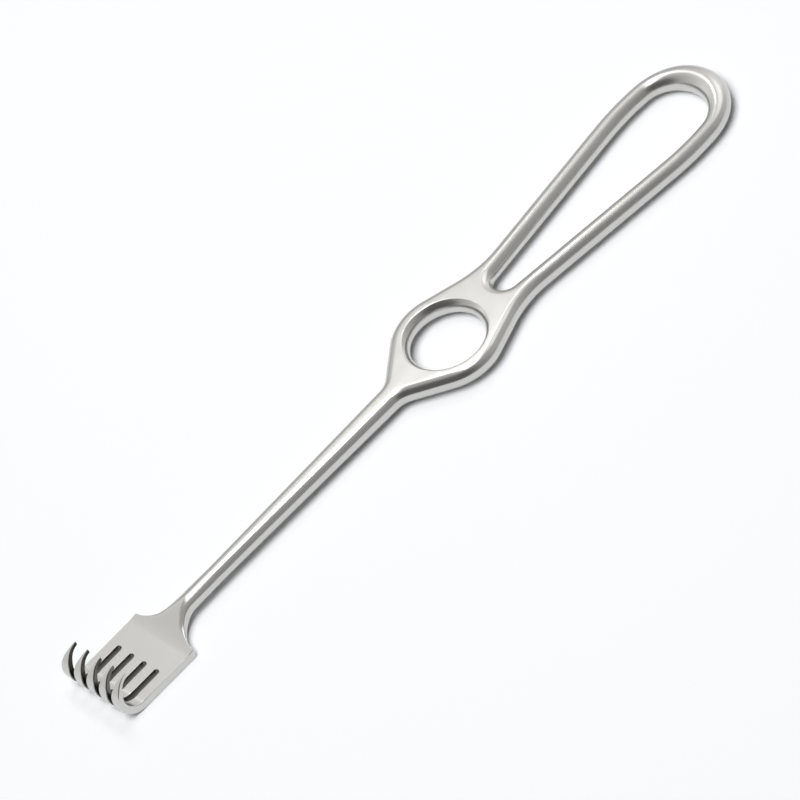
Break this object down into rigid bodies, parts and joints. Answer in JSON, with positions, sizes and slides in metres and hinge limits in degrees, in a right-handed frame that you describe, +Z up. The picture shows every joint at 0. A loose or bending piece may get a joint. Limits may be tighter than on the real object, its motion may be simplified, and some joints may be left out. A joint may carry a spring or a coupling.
{
  "type": "rake retractor",
  "caption": "Hand-held surgical rake retractor: sharp hooked prongs on a flat blade, tapering shaft, finger ring and long open grip loop.",
  "frame": {"origin": "middle of the overall length and width, on the surface that the instrument lies on", "axes": "+X from the prongs towards the grip loop, +Y across the handle, +Z up, the way the prong points face"},
  "size_m": [0.22, 0.0294, 0.0125],
  "materials": {
    "satin_steel": "satin, finely ground and polished stainless steel"
  },
  "bodies": {
    "root": {"grip_loop": "satin_steel", "finger_ring": "satin_steel", "shaft": "satin_steel", "rake_plate": "satin_steel", "prong_1": "satin_steel", "prong_2": "satin_steel", "prong_3": "satin_steel", "prong_4": "satin_steel", "prong_5": "satin_steel"}
  },
  "joints": []
}
